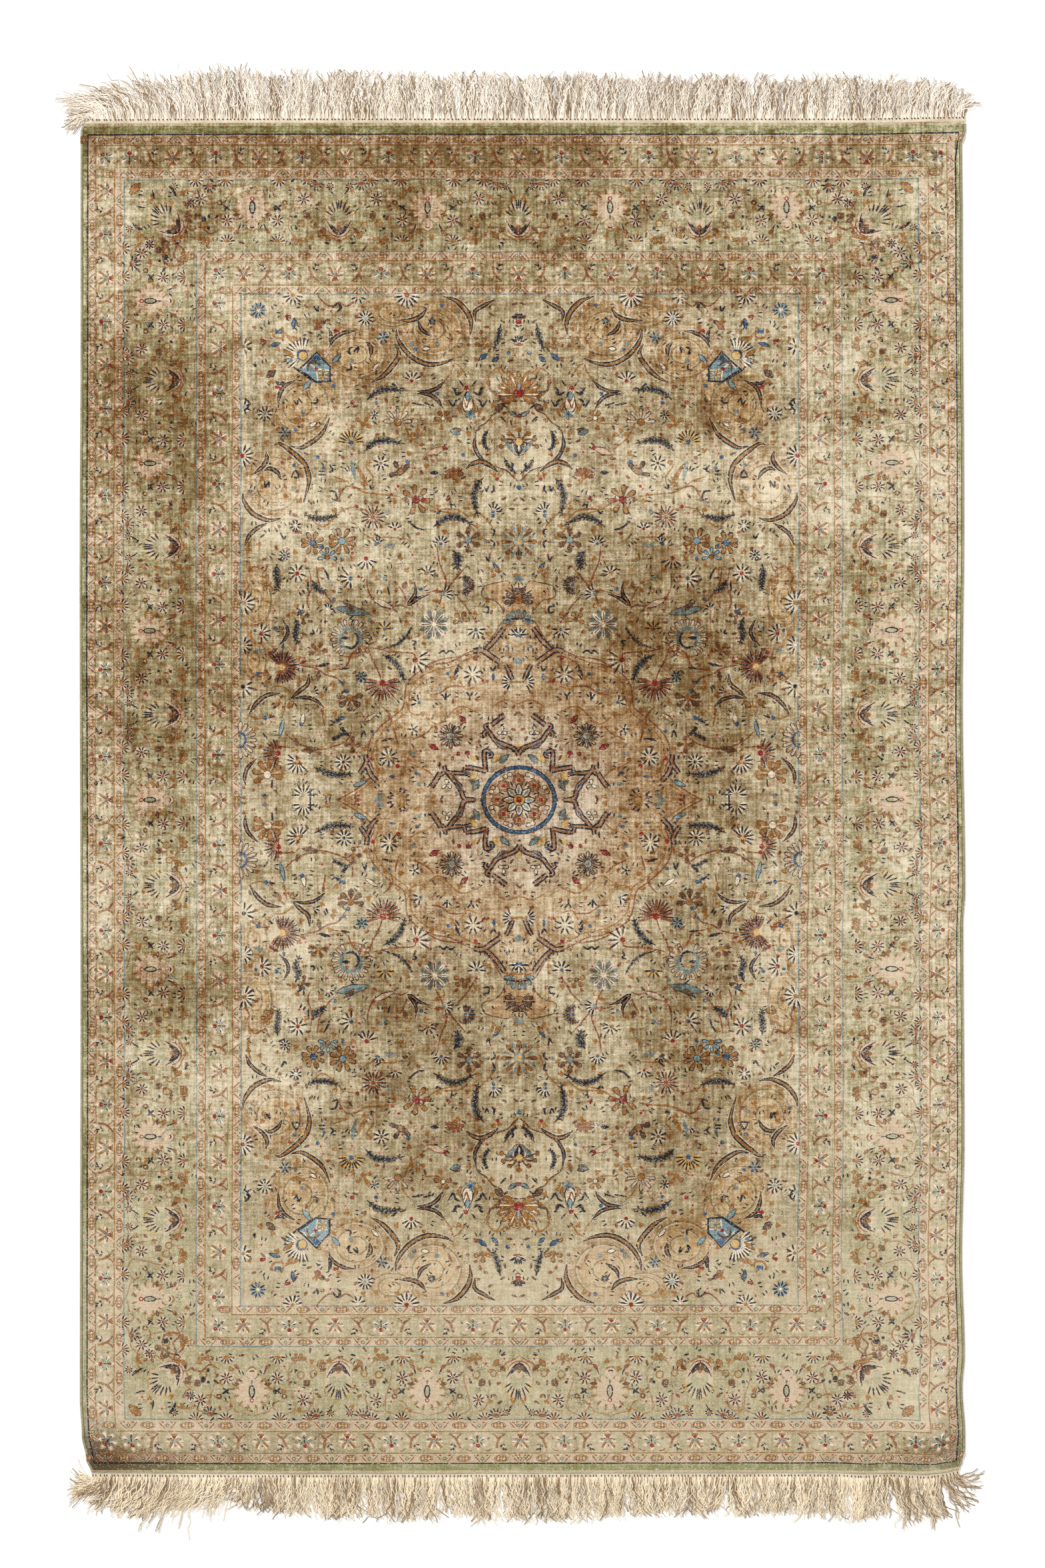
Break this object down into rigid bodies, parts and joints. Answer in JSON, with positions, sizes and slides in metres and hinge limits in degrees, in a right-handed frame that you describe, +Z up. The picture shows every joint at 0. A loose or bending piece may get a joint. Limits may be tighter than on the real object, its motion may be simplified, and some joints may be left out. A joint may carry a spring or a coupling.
{
  "type": "persian rug",
  "caption": "Hand-knotted persian silk rug lying flat, with overcast side cords and a kilim strip with loose warp fringe at each end.",
  "frame": {"origin": "middle of the rug body's underside, on the floor", "axes": "+X to the right across the rug's width, +Y to the rug's upper end along its length, +Z up out of the pile"},
  "size_m": [1.3773, 2.1826, 0.0044],
  "materials": {
    "silk_pile": "short cut silk pile with a soft directional sheen, knotted in sage, gold, cream, navy and rust",
    "overcast_silk": "silk thread wound over the side warps, matt with a slight sheen",
    "warp_fringe": "undyed twisted warp ends, cream, matt"
  },
  "bodies": {
    "root": {"rug_body": "silk_pile", "selvedge_left": "overcast_silk", "selvedge_right": "overcast_silk", "fringe_top": "warp_fringe", "fringe_bottom": "warp_fringe"}
  },
  "joints": []
}
